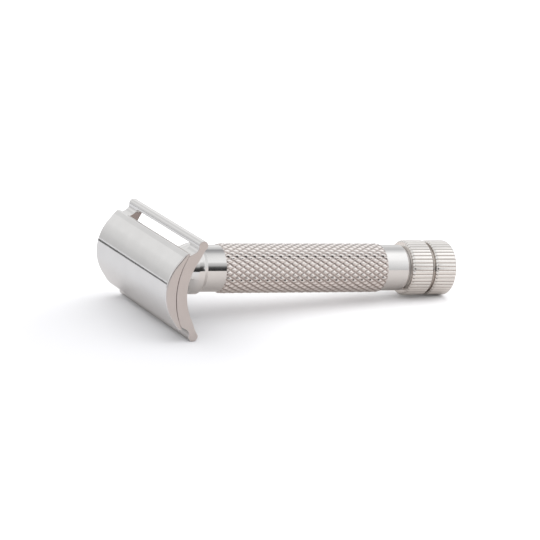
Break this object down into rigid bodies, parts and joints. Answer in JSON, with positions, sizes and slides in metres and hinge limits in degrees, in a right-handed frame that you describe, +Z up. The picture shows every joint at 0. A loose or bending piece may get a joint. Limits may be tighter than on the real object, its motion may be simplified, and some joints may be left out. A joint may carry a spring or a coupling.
{
  "type": "safety razor",
  "caption": "Double-edge safety razor with an arched cap, a slotted closed-bar guard, a diamond-knurled handle and a fluted twist knob that clamps the head.",
  "frame": {"origin": "centre of the footprint on the table, with the razor lying as it rests, on its lower guard bar and the knob's end rim", "axes": "+X from the head to the knob, level with the table; +Y along the head; +Z up. The handle's axis falls 3.91 degrees towards the knob"},
  "size_m": [0.0882, 0.042, 0.0246],
  "materials": {
    "polished_chrome": "mirror-polished nickel-chrome plate",
    "knurled_chrome": "nickel-chrome plate over a cut diamond knurl",
    "fluted_chrome": "nickel-chrome plate over straight flutes",
    "plated_thread": "bright plate, lightly oiled thread",
    "brass_nut": "machined",
    "bronze_bush": "sintered, oiled",
    "bright_steel": "ground",
    "spring_steel": "blued spring steel"
  },
  "bodies": {
    "handle": {"guard_plate": "polished_chrome", "neck_collar": "polished_chrome", "handle_tube": "knurled_chrome", "upper_guide_bush": "bronze_bush", "lower_guide_bush": "bronze_bush", "thrust_washer": "spring_steel"},
    "cap": {"cap_shell": "polished_chrome", "threaded_stud": "plated_thread", "locating_pins": "plated_thread"},
    "knob": {"draw_rod": "bright_steel", "threaded_socket": "brass_nut", "socket_pin": "bright_steel", "retaining_clip": "spring_steel", "wave_washer": "spring_steel", "twist_knob": "fluted_chrome", "knob_screw": "bright_steel", "end_plug": "polished_chrome"}
  },
  "joints": [
    {"name": "knob_turn", "type": "hinge", "parent": "handle", "child": "knob", "pos_m": [0.03415, 0, 0.00757], "axis": [0.9977, 0, -0.0682], "range_deg": [0, 2880]},
    {"name": "cap_lift", "type": "slide", "parent": "handle", "child": "cap", "axis": [-0.9977, 0, 0.0682], "range_m": [0, 0.0064]}
  ],
  "couplings": [
    {"joint": "cap_lift", "follows": "knob_turn", "m_per_rad": 0.00012732}
  ]
}
